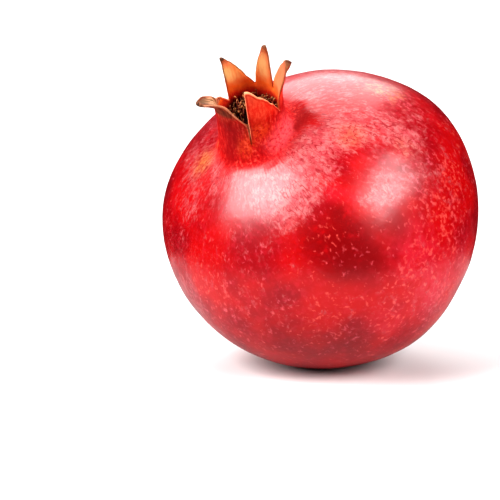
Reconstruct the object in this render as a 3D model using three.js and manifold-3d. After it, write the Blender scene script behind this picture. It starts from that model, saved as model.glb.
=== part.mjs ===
/*
 * A whole ripe pomegranate, picked and lying on its side on a small flat spot of its skin.
 *
 *   fruit    the body and the calyx crown that grew from it, as one skin: its profile runs from the
 *            stem end over the body, up the outside of the neck and its pointed lobes, over their
 *            edge and down the inside of the cup to its floor
 *   stamens  the dried filaments with their anthers, and the style, standing on a pad in the cup
 *   stalk    the short woody stub where the fruit was clipped from its branch
 *
 * Everything is shaped on the upright fruit, with its centre at the origin and its crown up, and is then
 * laid down. A turn is an angle about the fruit's own axis, counted from the side that its neck bends to.
 * Units are millimetres and degrees, +Z is up, and the finished part's origin is in its flat spot.
 */
import * as THREE from 'three';
import { mergeVertices } from 'three/addons/utils/BufferGeometryUtils.js';
import Module from 'manifold-3d';

const wasm = await Module();
wasm.setup();

const { clamp, degToRad, lerp, seededRandom, smoothstep } = THREE.MathUtils;

// Body: a globe slightly flattened from crown to stem end, with blunt ribs and a few broad swells.
// A swell is centred at a turn and a climb from the equator, and a negative one is a flattened side.
// They all fade out between SWELL_FADE above the fruit's centre and the root of the neck.
const EQUATOR_RADIUS = 51.8;
const POLE_RADIUS = 48.2;
const RIBS = 6;
const RIB_RISE = 0.4;
const SWELLS = [
  { turn: 31, climb: 5, rise: 2.9, spread: 24 },
  { turn: 167, climb: 37, rise: 2.1, spread: 28 },
  { turn: 234, climb: -28, rise: -2.8, spread: 35 },
  { turn: 100, climb: -25, rise: 1.0, spread: 26 },
];
const SWELL_FADE = 34;

// Stem end: a shallow dimple with a flat seat in its middle.
const DIMPLE_RADIUS = 12;
const DIMPLE_DEPTH = 2.6;
const DIMPLE_SEAT = 4.6;

// Neck: a waisted tube that stands steeply on the body and bends over. Heights are above the fruit's
// centre. The cup in it has a flat floor.
const NECK_ROOT = 45.4;
const NECK_ROOT_RADIUS = 17.5;
const NECK_RADIUS = 13.6;
const NECK_FLARE = 0.8;
const MOUTH = 59.4;
const MOUTH_RADIUS = 10.95;
const NECK_WAIST = 1;
const CUP_FLOOR = 50;
const CUP_RADIUS = 10.2;
const WALL = 1.8;
const EDGE_WALL = 1.1;
const BEND = 18.3;
const BEND_LENGTH = 8;

// Calyx lobes, in order round the mouth. A lobe rises from the notch at its start to its tip and falls
// to the next lobe's notch. Notches and lengths are measured up from the mouth, and a lobe curls
// outwards by its curl above the height curlFrom. The edges are the powers of its rising and falling
// edge: one of power 1 is straight, and one of a lower power bulges. A curled lobe dries into a trough:
// pinch is the share by which it narrows, and trough is how far its edges roll up. Both grow over
// TROUGH_RAMP above the mouth, and the trough runs out from TROUGH_END of the lobe's length to its tip.
const LOBES = [
  { start: -23, notch: 0, tip: 11, length: 14.9, edges: [0.65, 0.7], columns: [9, 8], curl: 37 },
  { start: 41, notch: -0.6, tip: 58, length: 14.4, edges: [0.52, 0.72], columns: [7, 8], curl: 23 },
  { start: 79.5, notch: -0.6, tip: 129, length: 12.3, edges: [1, 1], columns: [12, 2], curl: 11 },
  {
    start: 134.5, notch: -3.9, tip: 210, length: 13.8, edges: [1.04, 0.2], columns: [13, 14],
    curl: 82, curlFrom: 2.7, pinch: 0.47, trough: 1.05,
  },
  { start: 269.5, notch: -7.2, tip: 275, length: 15.1, edges: [1, 0.8], columns: [2, 15], curl: 0 },
];
const TROUGH_RAMP = 7;
const TROUGH_END = 0.8;

// Rows of the skin. The neck's wall is drawn straight from PLAIN_TOP to TUBE_TOP, and is then stretched
// or pressed down between PLAIN_TOP and the edge of its lobe or notch.
const BODY_ROWS = 24;
const NECK_ROWS = 5;
const LOBE_ROWS = 11;
const PLAIN_TOP = 52;
const TUBE_TOP = 72;

// How the fruit lies: spun about its axis, leaned from upright, and headed round the vertical. The flat
// spot is REST_DEPTH below the fruit's centre and REST_SHIFT to the side of it.
const SPIN = 121.5;
const LEAN = 43.8;
const HEADING = -41.3;
const REST_DEPTH = 47.5;
const REST_SHIFT = { x: 0.3, y: -1.3 };

// Stamens: tapering filaments that sway up from a pad, each with an anther, in a spiral round the style.
const GAP = 0.3;
const PAD_RADIUS = 8.8;
const PAD_TOP_RADIUS = 8;
const PAD_HEIGHT = 1.6;
const PAD_SIDES = 40;
const FILAMENTS = 46;
const FILAMENT_REACH = [2, 7.2];
const FILAMENT_SIDES = 4;
const FILAMENT_ROOT_RADIUS = 0.42;
const FILAMENT_TIP_RADIUS = 0.32;
const FILAMENT_LENGTHS = [4.5, 7.5];
const FILAMENT_SWAY = 2.2;
const ANTHER_RADIUS = 0.75;
const TUFT_RADIUS = 8.6;
const STYLE_RADIUS = 0.9;
const STYLE_TIP_RADIUS = 0.65;
const STYLE_LENGTH = 7.5;
const STYLE_SIDES = 8;
const STIGMA_RADIUS = 1.2;
const ROOT_SINK = 1;
const GOLDEN_TURN = Math.PI * (3 - Math.sqrt(5));
const SEED = 11;

// Stalk: a stub with a swollen foot on the dimple's seat and a clipped end.
const STALK_FOOT_RADIUS = 3.8;
const STALK_RADIUS = 2.4;
const STALK_LENGTH = 8;
const STALK_SIDES = 20;
const STALK_FURROWS = 5;
const STALK_FURROW_DEPTH = 0.18;

/** Moves every vertex of a geometry by a rule, which changes the point that it is given. */
function reshape(geometry, rule) {
  const place = geometry.getAttribute('position');
  const point = new THREE.Vector3();
  for (let i = 0; i < place.count; i += 1) {
    point.fromBufferAttribute(place, i);
    rule(point, i);
    place.setXYZ(i, point.x, point.y, point.z);
  }
  return geometry;
}

/** A closed geometry with its shared vertices merged, as a solid that can be joined and cut. */
function solidOf(geometry) {
  geometry.deleteAttribute('normal');
  geometry.deleteAttribute('uv');
  const merged = mergeVertices(geometry);
  const vertProperties = new Float32Array(merged.getAttribute('position').array);
  const triVerts = new Uint32Array(merged.index.array);
  return new wasm.Manifold(new wasm.Mesh({ numProp: 3, vertProperties, triVerts }));
}

/** A joined or cut solid, as a geometry again. */
function geometryOf(solid) {
  const mesh = solid.getMesh();
  const geometry = new THREE.BufferGeometry();
  geometry.setAttribute('position', new THREE.BufferAttribute(mesh.vertProperties, 3));
  geometry.setIndex(new THREE.BufferAttribute(mesh.triVerts, 1));
  return geometry;
}

/** Bends the neck and all that stands in it over towards turn 0. */
function bendNeck(point) {
  const along = point.z - NECK_ROOT;
  if (along <= 0) {
    return;
  }
  const arcRadius = BEND_LENGTH / degToRad(BEND);
  const angle = Math.min(along, BEND_LENGTH) / arcRadius;
  const beyond = Math.max(along - BEND_LENGTH, 0);
  const across = point.x;
  point.x = arcRadius * (1 - Math.cos(angle)) + beyond * Math.sin(angle) + across * Math.cos(angle);
  point.z = NECK_ROOT + arcRadius * Math.sin(angle) + beyond * Math.cos(angle) - across * Math.sin(angle);
}

/** Lays a geometry of the upright fruit down, with the middle of the flat spot at the origin. */
function layDown(geometry) {
  geometry.rotateZ(degToRad(SPIN - 90));
  geometry.rotateX(degToRad(LEAN));
  geometry.rotateZ(degToRad(HEADING));
  geometry.translate(-REST_SHIFT.x, -REST_SHIFT.y, REST_DEPTH);
  return geometry;
}

/**
 * The columns of the skin, from the first notch round: each one's turn, the height of the edge there, its
 * lobe, the foot and power of its side of the lobe, and its share of the way from that foot to the tip.
 */
function rimColumns() {
  const columns = [];
  LOBES.forEach((lobe, index) => {
    const next = LOBES[(index + 1) % LOBES.length];
    const end = next.start < lobe.start ? next.start + 360 : next.start;
    const sides = [
      { foot: lobe.start, footHeight: lobe.notch, power: lobe.edges[0], count: lobe.columns[0] },
      { foot: end, footHeight: next.notch, power: lobe.edges[1], count: lobe.columns[1] },
    ];
    sides.forEach((side, sideIndex) => {
      const falling = sideIndex === 1;
      for (let i = 0; i < side.count; i += 1) {
        const evenShare = falling ? 1 - i / side.count : i / side.count;
        const share = evenShare ** (2 / (1 + side.power));
        const height = lerp(side.footHeight, lobe.length, share ** side.power);
        columns.push({ ...side, lobe, share, height, turn: lerp(side.foot, lobe.tip, share) });
      }
    });
  });
  return columns;
}

/** Outer radius of the neck at a height above the fruit's centre. */
function neckRadius(height) {
  const share = clamp((height - NECK_ROOT) / (MOUTH - NECK_ROOT), 0, 1);
  const flare = (NECK_ROOT_RADIUS - NECK_RADIUS) * Math.exp((NECK_ROOT - height) / NECK_FLARE);
  return lerp(NECK_RADIUS, MOUTH_RADIUS, share) - NECK_WAIST * Math.sin(Math.PI * share) + flare;
}

/** Thickness of the neck's wall, which thins towards the mouth. */
function wallThickness(height) {
  return lerp(WALL, EDGE_WALL, clamp((height - PLAIN_TOP) / (MOUTH - PLAIN_TOP), 0, 1));
}

/** Profile of the skin on the upright fruit, from the stem end to the middle of the cup's floor. */
function skinProfile() {
  const profile = [];
  const shoulder = Math.PI - Math.asin(NECK_ROOT_RADIUS / EQUATOR_RADIUS);
  for (let i = 0; i < BODY_ROWS; i += 1) {
    const angle = shoulder * i / BODY_ROWS;
    const radius = EQUATOR_RADIUS * Math.sin(angle);
    const atStemEnd = angle < Math.PI / 2;
    const drawnIn = atStemEnd ? DIMPLE_DEPTH * (1 - smoothstep(radius, DIMPLE_SEAT, DIMPLE_RADIUS)) : 0;
    profile.push(new THREE.Vector2(radius, -POLE_RADIUS * Math.cos(angle) + drawnIn));
  }
  for (let i = 0; i < NECK_ROWS; i += 1) {
    const height = lerp(NECK_ROOT, PLAIN_TOP, i / NECK_ROWS);
    profile.push(new THREE.Vector2(neckRadius(height), height));
  }
  for (let i = 0; i <= LOBE_ROWS; i += 1) {
    profile.push(new THREE.Vector2(MOUTH_RADIUS, lerp(PLAIN_TOP, TUBE_TOP, i / LOBE_ROWS)));
  }
  for (let i = LOBE_ROWS; i >= 0; i -= 1) {
    profile.push(new THREE.Vector2(MOUTH_RADIUS - EDGE_WALL, lerp(PLAIN_TOP, TUBE_TOP, i / LOBE_ROWS)));
  }
  profile.push(new THREE.Vector2(CUP_RADIUS, CUP_FLOOR));
  profile.push(new THREE.Vector2(CUP_RADIUS / 2, CUP_FLOOR));
  profile.push(new THREE.Vector2(0, CUP_FLOOR));
  return profile;
}

/** How far a column is from the middle of its lobe at a height, as a share of the lobe's half width. */
function offMiddle(column, above) {
  const { footHeight, lobe, power, share } = column;
  const edgeShare = clamp((above - footHeight) / (lobe.length - footHeight), 0, 1) ** (1 / power);
  return Math.min((1 - share) / Math.max(1 - edgeShare, 1e-3), 1);
}

/** Where a point of the straight tube goes once its column has its lobe's height, curl and trough. */
function lobePoint(radius, height, column) {
  const { curl, curlFrom = 0, length, pinch = 0, tip, trough = 0 } = column.lobe;
  const share = (height - PLAIN_TOP) / (TUBE_TOP - PLAIN_TOP);
  const along = lerp(PLAIN_TOP, MOUTH + column.height, share);
  const above = along - MOUTH;
  const half = wallThickness(along) / 2;
  const ramp = smoothstep(above, 0, TROUGH_RAMP);
  const roll = trough * ramp * (1 - smoothstep(above, TROUGH_END * length, length));
  const outside = radius > MOUTH_RADIUS - EDGE_WALL / 2;
  const offset = (outside ? half : -half) - roll * offMiddle(column, above) ** 2;
  const middle = neckRadius(along) - half;
  const turn = lerp(column.turn, tip, pinch * ramp);
  const curled = Math.max(above - curlFrom, 0);
  if (curl === 0 || curled === 0) {
    return { radius: middle + offset, height: along, turn };
  }
  const arcRadius = (length - curlFrom) / degToRad(curl);
  const angle = curled / arcRadius;
  return {
    radius: middle + arcRadius * (1 - Math.cos(angle)) + offset * Math.cos(angle),
    height: along - curled + arcRadius * Math.sin(angle) - offset * Math.sin(angle),
    turn,
  };
}

/** How far the ribs and swells push the body's skin out, in a direction from the fruit's centre. */
function skinRise(direction) {
  const level = Math.hypot(direction.x, direction.y);
  const turn = Math.atan2(direction.y, direction.x);
  let rise = RIB_RISE * Math.cos(RIBS * turn) * level ** 2;
  for (const swell of SWELLS) {
    const climb = degToRad(swell.climb);
    const sideways = Math.cos(climb) * level * Math.cos(turn - degToRad(swell.turn));
    const apart = Math.acos(clamp(sideways + Math.sin(climb) * direction.z, -1, 1));
    rise += swell.rise * Math.exp(-((apart / degToRad(swell.spread)) ** 2));
  }
  return rise;
}

/** The body, neck and lobes: a lathe shape whose columns are spread, stretched, swollen and bent. */
function makeFruit() {
  const profile = skinProfile();
  const columns = rimColumns();
  const lathe = new THREE.LatheGeometry(profile, columns.length);
  lathe.rotateX(Math.PI / 2);
  reshape(lathe, (point, index) => {
    const place = Math.floor(index / profile.length) % columns.length;
    const column = columns[place];
    const evenTurn = LOBES[0].start + 360 * place / columns.length;
    let turn = lerp(evenTurn, column.turn, smoothstep(point.z, 0, NECK_ROOT));
    let radius = Math.hypot(point.x, point.y);
    let height = point.z;
    if (height > PLAIN_TOP - 1e-3) {
      ({ radius, height, turn } = lobePoint(radius, height, column));
    }
    point.set(radius * Math.cos(degToRad(turn)), radius * Math.sin(degToRad(turn)), height);
    if (height < NECK_ROOT) {
      const direction = point.clone().normalize();
      const clearOfStalk = smoothstep(radius, DIMPLE_SEAT, DIMPLE_RADIUS);
      const clearOfNeck = 1 - smoothstep(height, SWELL_FADE, NECK_ROOT);
      point.addScaledVector(direction, skinRise(direction) * clearOfStalk * clearOfNeck);
    }
    bendNeck(point);
  });
  const ground = new THREE.BoxGeometry(4 * EQUATOR_RADIUS, 4 * EQUATOR_RADIUS, EQUATOR_RADIUS);
  ground.translate(0, 0, -EQUATOR_RADIUS / 2);
  return geometryOf(solidOf(layDown(lathe)).subtract(solidOf(ground)));
}

/** One filament or the style: a thin tapering stem, upright on the origin, with a knob on its end. */
function makeStem({ rootRadius, tipRadius, length, knobRadius, sides }) {
  const stem = new THREE.CylinderGeometry(tipRadius, rootRadius, length, sides, 3);
  stem.translate(0, length / 2, 0);
  const knob = new THREE.IcosahedronGeometry(knobRadius, 0);
  knob.scale(0.8, 1.1, 0.8);
  knob.translate(0, length, 0);
  return [stem, knob].map((part) => part.rotateX(Math.PI / 2));
}

/** The tuft of stamens, joined to the pad that it stands on. */
function makeStamens() {
  const base = CUP_FLOOR + GAP;
  const pad = new THREE.CylinderGeometry(PAD_TOP_RADIUS, PAD_RADIUS, PAD_HEIGHT, PAD_SIDES);
  pad.rotateX(Math.PI / 2);
  pad.translate(0, 0, base + PAD_HEIGHT / 2);
  const root = base + PAD_HEIGHT - ROOT_SINK;
  let tuft = solidOf(pad);
  const style = {
    rootRadius: STYLE_RADIUS,
    tipRadius: STYLE_TIP_RADIUS,
    length: STYLE_LENGTH,
    knobRadius: STIGMA_RADIUS,
    sides: STYLE_SIDES,
  };
  for (const part of makeStem(style)) {
    tuft = tuft.add(solidOf(part.translate(0, 0, root)));
  }
  seededRandom(SEED);
  for (let i = 0; i < FILAMENTS; i += 1) {
    const reach = lerp(...FILAMENT_REACH, Math.sqrt((i + 0.5) / FILAMENTS));
    const turn = i * GOLDEN_TURN;
    const length = lerp(...FILAMENT_LENGTHS, seededRandom());
    const swayX = lerp(-FILAMENT_SWAY, FILAMENT_SWAY, seededRandom());
    const swayY = lerp(-FILAMENT_SWAY, FILAMENT_SWAY, seededRandom());
    const filament = {
      rootRadius: FILAMENT_ROOT_RADIUS,
      tipRadius: FILAMENT_TIP_RADIUS,
      length,
      knobRadius: ANTHER_RADIUS,
      sides: FILAMENT_SIDES,
    };
    for (const part of makeStem(filament)) {
      reshape(part, (point) => {
        const share = clamp(point.z / length, 0, 1) ** 2;
        const x = reach * Math.cos(turn) + swayX * share;
        const y = reach * Math.sin(turn) + swayY * share;
        const keep = Math.min(1, (TUFT_RADIUS - ANTHER_RADIUS) / Math.hypot(x, y));
        point.x += x * keep;
        point.y += y * keep;
      });
      tuft = tuft.add(solidOf(part.translate(0, 0, root)));
    }
  }
  return layDown(reshape(geometryOf(tuft), bendNeck));
}

/** The stalk's stub, furrowed along its length. */
function makeStalk() {
  const foot = STALK_FOOT_RADIUS;
  const stub = STALK_RADIUS;
  const profile = [
    [0, 0], [foot, 0], [foot * 0.96, 0.8], [foot * 0.8, 1.7], [stub * 1.08, 3], [stub, 4.6],
    [stub * 1.02, STALK_LENGTH - 0.5], [stub * 0.9, STALK_LENGTH], [0, STALK_LENGTH],
  ].map(([radius, length]) => new THREE.Vector2(radius, length));
  const stalk = new THREE.LatheGeometry(profile, STALK_SIDES);
  reshape(stalk, (point) => {
    const turn = Math.atan2(point.z, point.x);
    const furrow = 1 - STALK_FURROW_DEPTH / stub * (0.5 + 0.5 * Math.cos(STALK_FURROWS * turn));
    point.x *= furrow;
    point.z *= furrow;
  });
  stalk.rotateX(-Math.PI / 2);
  stalk.translate(0, 0, -POLE_RADIUS + DIMPLE_DEPTH - GAP);
  return layDown(geometryOf(solidOf(stalk)));
}

const pieces = [
  ['fruit', makeFruit(), { color: 0xc4161d, roughness: 0.38, metalness: 0 }],
  ['stamens', makeStamens(), { color: 0x79502c, roughness: 0.85, metalness: 0 }],
  ['stalk', makeStalk(), { color: 0x8a6a4b, roughness: 0.9, metalness: 0 }],
];

const pomegranate = new THREE.Group();
for (const [name, geometry, finish] of pieces) {
  const mesh = new THREE.Mesh(geometry, new THREE.MeshStandardMaterial(finish));
  mesh.name = name;
  pomegranate.add(mesh);
}

export default pomegranate;
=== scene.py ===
# A whole ripe pomegranate lying on its side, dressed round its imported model.
# It is modelled upright, with the middle of its body at the world's origin and its crown up, and each
# finished piece is then laid down. A turn is an angle about the fruit's own axis, in degrees, counted
# from the side that its neck bends to. Lengths are in metres.
import math
import random

import bpy
import numpy as np
from mathutils import Matrix, Vector, noise


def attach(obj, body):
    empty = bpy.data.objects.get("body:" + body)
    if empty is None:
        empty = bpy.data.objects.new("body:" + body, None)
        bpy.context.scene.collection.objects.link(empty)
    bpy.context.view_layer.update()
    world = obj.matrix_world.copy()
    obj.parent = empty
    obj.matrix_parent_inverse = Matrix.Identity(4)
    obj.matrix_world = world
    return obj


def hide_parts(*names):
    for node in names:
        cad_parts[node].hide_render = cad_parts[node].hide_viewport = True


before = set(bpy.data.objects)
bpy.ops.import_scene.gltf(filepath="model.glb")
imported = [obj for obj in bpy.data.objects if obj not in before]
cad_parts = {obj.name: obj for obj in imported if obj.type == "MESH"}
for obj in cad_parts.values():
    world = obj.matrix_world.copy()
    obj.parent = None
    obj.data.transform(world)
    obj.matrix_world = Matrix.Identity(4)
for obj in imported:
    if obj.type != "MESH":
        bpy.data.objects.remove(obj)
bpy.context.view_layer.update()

MM = 0.001
TINY = 0.001 * MM

# ---------------------------------------------------------------------------------------------------
# The view: a long lens, a little above the fruit, aimed to the left of it and just under its middle.
AIM = Vector((-24.07, -0.43, 38.6)) * MM
VIEW_DISTANCE = 850 * MM
VIEW_ELEVATION = math.radians(11)
LENS = 184.8

bpy.ops.object.camera_add(rotation=(math.pi / 2 - VIEW_ELEVATION, 0, 0))
camera = bpy.context.object
back = Vector((0, -math.cos(VIEW_ELEVATION), math.sin(VIEW_ELEVATION)))
camera.location = AIM + back * VIEW_DISTANCE
camera.data.lens = LENS
bpy.context.scene.camera = camera

# ---------------------------------------------------------------------------------------------------
# The fruit's rind: one leathery skin over the body, up the neck, over the edges of its five dried
# calyx lobes and down into the cup. It grew as one piece, with blunt ribs and a few broad swells, and
# its red is broken by pale flecks that run from the crown towards the stem end.
EQUATOR_RADIUS = 51.8 * MM
POLE_RADIUS = 48.2 * MM
RIBS = 6
RIB_RISE = 0.4 * MM
SWELLS = [
    {"turn": 31, "climb": 5, "rise": 2.9 * MM, "spread": 24},
    {"turn": 167, "climb": 37, "rise": 2.1 * MM, "spread": 28},
    {"turn": 234, "climb": -28, "rise": -2.8 * MM, "spread": 35},
    {"turn": 100, "climb": -25, "rise": 1.0 * MM, "spread": 26},
]
SWELL_FADE = 34 * MM
DIMPLE_RADIUS = 12 * MM
DIMPLE_DEPTH = 2.6 * MM
DIMPLE_SEAT = 4.6 * MM
NECK_ROOT = 45.4 * MM
NECK_ROOT_RADIUS = 17.5 * MM
NECK_RADIUS = 13.6 * MM
NECK_FLARE = 0.8 * MM
NECK_WAIST = 1.0 * MM
MOUTH = 59.4 * MM
MOUTH_RADIUS = 10.95 * MM
CUP_FLOOR = 50 * MM
CUP_RADIUS = 10.2 * MM
WALL = 1.8 * MM
EDGE_WALL = 1.1 * MM
BEND = math.radians(18.3)
BEND_LENGTH = 8 * MM
PLAIN_TOP = 52 * MM
TUBE_TOP = 72 * MM

# Lobes in order round the mouth, with their heights in millimetres above it: each rises from the notch at
# its start to its tip, falls to the next notch, and curls outwards above the height curl_from. Its edges
# are powers: under 1 they bulge. The fourth withered into a trough, pinched in and with its edges rolled
# up. Two have blunt pale rims, four have a dry tip, and three a knob at the tip.
LOBES = [
    {
        "start": -23, "notch": 0.0, "tip": 11, "length": 15.4, "edges": (0.68, 0.7), "curl": 37,
        "blunt": 1.3, "knob": 1.1, "dry_tip": 0.6,
    },
    {
        "start": 41, "notch": -0.6, "tip": 58, "length": 15.0, "edges": (0.56, 0.76), "curl": 23,
        "blunt": 1.2, "knob": 0.4, "dry_tip": 0.7,
    },
    {
        "start": 79.5, "notch": -0.6, "tip": 129, "length": 12.9, "edges": (1, 1), "curl": 11,
        "blunt": 1, "knob": 0.5, "dry_tip": 1,
    },
    {
        "start": 134.5, "notch": -3.9, "tip": 210, "length": 14.3, "edges": (1.04, 0.2), "curl": 82,
        "blunt": 0.6, "curl_from": 2.7, "pinch": 0.52, "trough": 1.05, "blunt_edge": 0.35,
        "withered": 1, "dry_tip": 1,
    },
    {
        "start": 269.5, "notch": -7.2, "tip": 275, "length": 14.9, "edges": (1, 0.8), "curl": 0,
        "blunt": 2.2, "thick_rim": 0.2, "blunt_edge": 1,
    },
]
TROUGH_RAMP = 7 * MM
TROUGH_END = 0.8
EDGE_SAMPLES = 600
EDGE_STEP = 0.42 * MM
EDGE_ROUNDINGS = 3
EDGE_WOBBLE = 0.5 * MM
EDGE_WOBBLE_SIZE = 0.2
EDGE_ROUND = 0.5 * MM
EDGE_TAPER = 1.8 * MM
RIM_DEPTH = 1.6 * MM
RIM_FADE = 6 * MM
FAR_FROM_EDGE = 9 * MM
LOBE_RIPPLE = 0.5 * MM
LOBE_RIPPLE_SIZE = 0.45
LOBE_RIB = 0.25 * MM
LOBE_RIB_WIDTH = 0.22
LUMP_SIZE = 11 * MM
LUMP_RISE = 0.3 * MM
BODY_ROWS = 64
NECK_ROWS = 15
LOBE_ROWS = 34
ROWS_TO_EDGE = 1.8

# How the fruit lies on its flat spot.
SPIN = math.radians(121.5)
LEAN = math.radians(43.8)
HEADING = math.radians(-41.3)
REST_DEPTH = 47.5 * MM
REST_SHIFT = (0.3 * MM, -1.3 * MM)

# Where each kind of marking lies on the skin: every soft patch has its turn, its height on the fruit and
# its reach, both in millimetres, and its strength. The deep patches also paint shade, and the pink and
# matte patches also paint light.
PATCHES = {
    "pale": [
        (-46, 45, 6, 0.7), (-34, 44, 7, 0.9), (-21, 42, 7, 0.75), (-10, 40, 7, 0.7), (-4, 36, 8, 0.7),
        (49, 34, 8, 0.6), (-4, 30, 7, 0.65), (-6, 25, 6, 0.45), (8, 24, 6, 0.4), (-62, 41, 8, 0.9),
        (-77, 39, 7, 0.9), (-87, 44, 9, 0.45), (-104, 46, 6, 0.45), (5, 43, 6, 0.4), (-31, 27, 6, 0.55),
        (-40, 28, 5, 0.45), (-17, 21, 6, 0.2), (-43, 39, 4, 0.4), (-45, 0, 10, 0.15),
        (-45, -17, 8, 0.2), (-15, 12, 8, 0.2), (-161, 46, 6, 0.7), (-176, 43, 8, 0.6),
        (163, 41, 6, 0.35), (-137, 44, 5, 0.5), (-154, 39, 7, 0.4), (-125, 46, 5, 0.5),
        (36, 45, 6, 0.5), (28, 41, 7, 0.3), (28, 29, 8, 0.5), (66, 32, 15, 0.6), (95, 12, 18, 0.45),
        (140, 20, 14, 0.5), (80, -22, 14, 0.35), (165, -18, 16, 0.4), (-150, 10, 13, 0.4),
        (30, -30, 13, 0.35), (-120, -30, 12, 0.35),
    ],
    "flecked": [
        (-26, 15, 6, 1), (-24, 4, 8, 1), (-10, 10, 8, 0.9), (-18, 24, 6, 0.7), (20, 26, 8, 0.9),
        (-39, 11, 5, 0.5), (-42, 3, 7, 0.8), (-53, 6, 5, 0.8), (-44, -13, 6, 0.7), (-62, -4, 6, 0.7),
        (-57, -19, 6, 0.5), (-29, -7, 5, 0.5), (-5, 25, 3, 0.5), (-72, -10, 5, 0.4), (-79, 36, 3, 0.4),
        (20, -5, 18, 0.6), (60, 5, 17, 0.6), (110, -10, 20, 0.6), (180, 5, 18, 0.6),
        (-130, 15, 16, 0.5), (-90, 5, 16, 0.3), (-20, -30, 16, 0.6), (130, 38, 12, 0.5),
        (-40, -22, 12, 0.5),
    ],
    "orange": [
        (-176, 44, 5, 0.9), (176, 47, 2, 0.6), (34, 9, 5, 0.8), (26, 29, 8, 0.9), (-15, 39, 5, 0.35),
        (-12, 27, 4, 0.3), (-3, 1, 5, 0.3), (100, 25, 12, 0.7), (150, -5, 12, 0.6), (60, -15, 9, 0.5),
        (262, 53, 3, 0.8), (284, 58, 4, 0.8), (254, 50.5, 2.5, 0.5), (150, 50, 4, 0.4),
        (80, 53, 4, 0.5),
    ],
    # Deep patches are partly deep red skin and partly painted shade: on the body's front, in the crease at
    # the neck's foot and under the withered lobe.
    "deep_and_shade": [
        (-59, 26, 7, 0.9), (-59, 18, 6, 0.8), (-71, 30, 8, 0.8), (-69, 21, 7, 0.8), (-42, 19, 5, 0.6),
        (-21, 26, 2, 0.7), (-57, 32, 4, 0.8), (-48, 24, 3, 0.6), (-1, 45.5, 3, 0.7),
        (-4, 46.3, 2.2, 0.9), (-14, 46.6, 1.6, 0.9), (-135, 48, 3, 0.9), (-82, -8, 8, 0.6),
        (-42, 36, 3, 0.3), (222, 57, 5, 0.3), (236, 58, 4, 0.4), (236, 53, 3, 0.8), (6, 58, 3, 0.7),
        (-100, -5, 14, 0.5), (120, -25, 14, 0.5), (285, 47, 4, 0.4), (40, 20, 9, 0.4),
        (170, 30, 9, 0.4),
    ],
    # Pink patches are partly pink skin and partly painted light: those low on the body, at turns of about
    # -30 to -67, paint light thrown up from the floor.
    "pink_and_lit": [
        (-44, 5, 10, 0.8), (-41, 13, 6, 0.6), (-52, 36, 3, 0.5), (-45, -10, 10, 0.9), (-67, -5, 7, 0.5),
        (-46, 33, 3, 0.5), (-30, -20, 14, 0.6), (335, 51, 6, 0.9), (306, 49.5, 4, 0.7), (10, 69, 8, 1),
        (140, -30, 15, 0.5), (60, 20, 14, 0.4), (-110, -20, 12, 0.5),
    ],
    # Matte patches make the skin matte at the neck's foot and also paint its red brighter there, a painted
    # light that lifts the crown's shade.
    "matte": [
        (-3, 45.8, 5, 1), (25, 46, 3, 1), (-20, 45.6, 4, 0.7), (-50, 45.4, 3, 0.8), (-136, 46, 4, 0.7),
    ],
}


def turned(name, profile, steps):
    """A solid turned about the upright axis from its profile of radii and heights, axis to axis."""
    bpy.ops.object.select_all(action="DESELECT")
    bpy.ops.mesh.primitive_plane_add(size=MM)
    piece = bpy.context.object
    piece.name = name
    bpy.ops.object.mode_set(mode="EDIT")
    bpy.ops.mesh.merge(type="CENTER")
    reached = (0.0, 0.0)
    for index, (radius, height) in enumerate(profile):
        step = (radius - reached[0], 0, height - reached[1])
        if index == 0:
            bpy.ops.transform.translate(value=step)
        else:
            bpy.ops.mesh.extrude_region_move(TRANSFORM_OT_translate={"value": step})
        reached = (radius, height)
    bpy.ops.mesh.select_all(action="SELECT")
    bpy.ops.mesh.spin(steps=steps, angle=math.tau, center=(0, 0, 0), axis=(0, 0, 1))
    bpy.ops.mesh.select_all(action="SELECT")
    bpy.ops.mesh.remove_doubles(threshold=TINY)
    bpy.ops.mesh.normals_make_consistent(inside=False)
    bpy.ops.object.mode_set(mode="OBJECT")
    return piece


def points_of(piece):
    """The places of a piece's vertices, one a row."""
    flat = np.empty(3 * len(piece.data.vertices))
    piece.data.vertices.foreach_get("co", flat)
    return flat.reshape(-1, 3)


def set_points(piece, points):
    """Moves a piece's vertices to new places, one a row."""
    piece.data.vertices.foreach_set("co", np.ascontiguousarray(points, float).ravel())
    piece.data.update()


def mark_all(piece, name, values):
    """Writes a number or a place for each vertex of a piece, for its finish to read."""
    values = np.asarray(values, float)
    kind, key = ("FLOAT", "value") if values.ndim == 1 else ("FLOAT_VECTOR", "vector")
    piece.data.attributes.new(name, kind, "POINT").data.foreach_set(key, values.ravel())


def waves(points, size):
    """Smooth noise of -1 to 1 at each point, with hills about as far apart as size."""
    return np.array([noise.noise(Vector(point)) for point in points / size])


def smoothstep(value, low, high):
    """0 below low and 1 above high, with a soft step between them."""
    share = np.clip((value - low) / (high - low), 0, 1)
    return share * share * (3 - 2 * share)


def bend_neck(points):
    """Bends the neck and all that stands in it over towards turn 0."""
    along = points[:, 2] - NECK_ROOT
    arc_radius = BEND_LENGTH / BEND
    angle = np.clip(along, 0, BEND_LENGTH) / arc_radius
    beyond = np.clip(along - BEND_LENGTH, 0, None)
    below = np.clip(along, None, 0)
    across = points[:, 0]
    sine, cosine = np.sin(angle), np.cos(angle)
    bent = points.copy()
    bent[:, 0] = arc_radius * (1 - cosine) + beyond * sine + across * cosine
    bent[:, 2] = NECK_ROOT + below + arc_radius * sine + beyond * cosine - across * sine
    return bent


def lay_down(points):
    """Brings points of the upright fruit to where they lie."""
    spin = Matrix.Rotation(SPIN - math.pi / 2, 3, "Z")
    turn = Matrix.Rotation(HEADING, 3, "Z") @ Matrix.Rotation(LEAN, 3, "X") @ spin
    return points @ np.array(turn).T + (-REST_SHIFT[0], -REST_SHIFT[1], REST_DEPTH)


def rounded(line, whole_turn):
    """A line of numbers round the mouth, with its corners taken off. Once round adds whole_turn to it."""
    before = np.insert(line[:-1], 0, line[-1] - whole_turn)
    after = np.append(line[1:], line[0] + whole_turn)
    return (before + 2 * line + after) / 4


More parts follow.
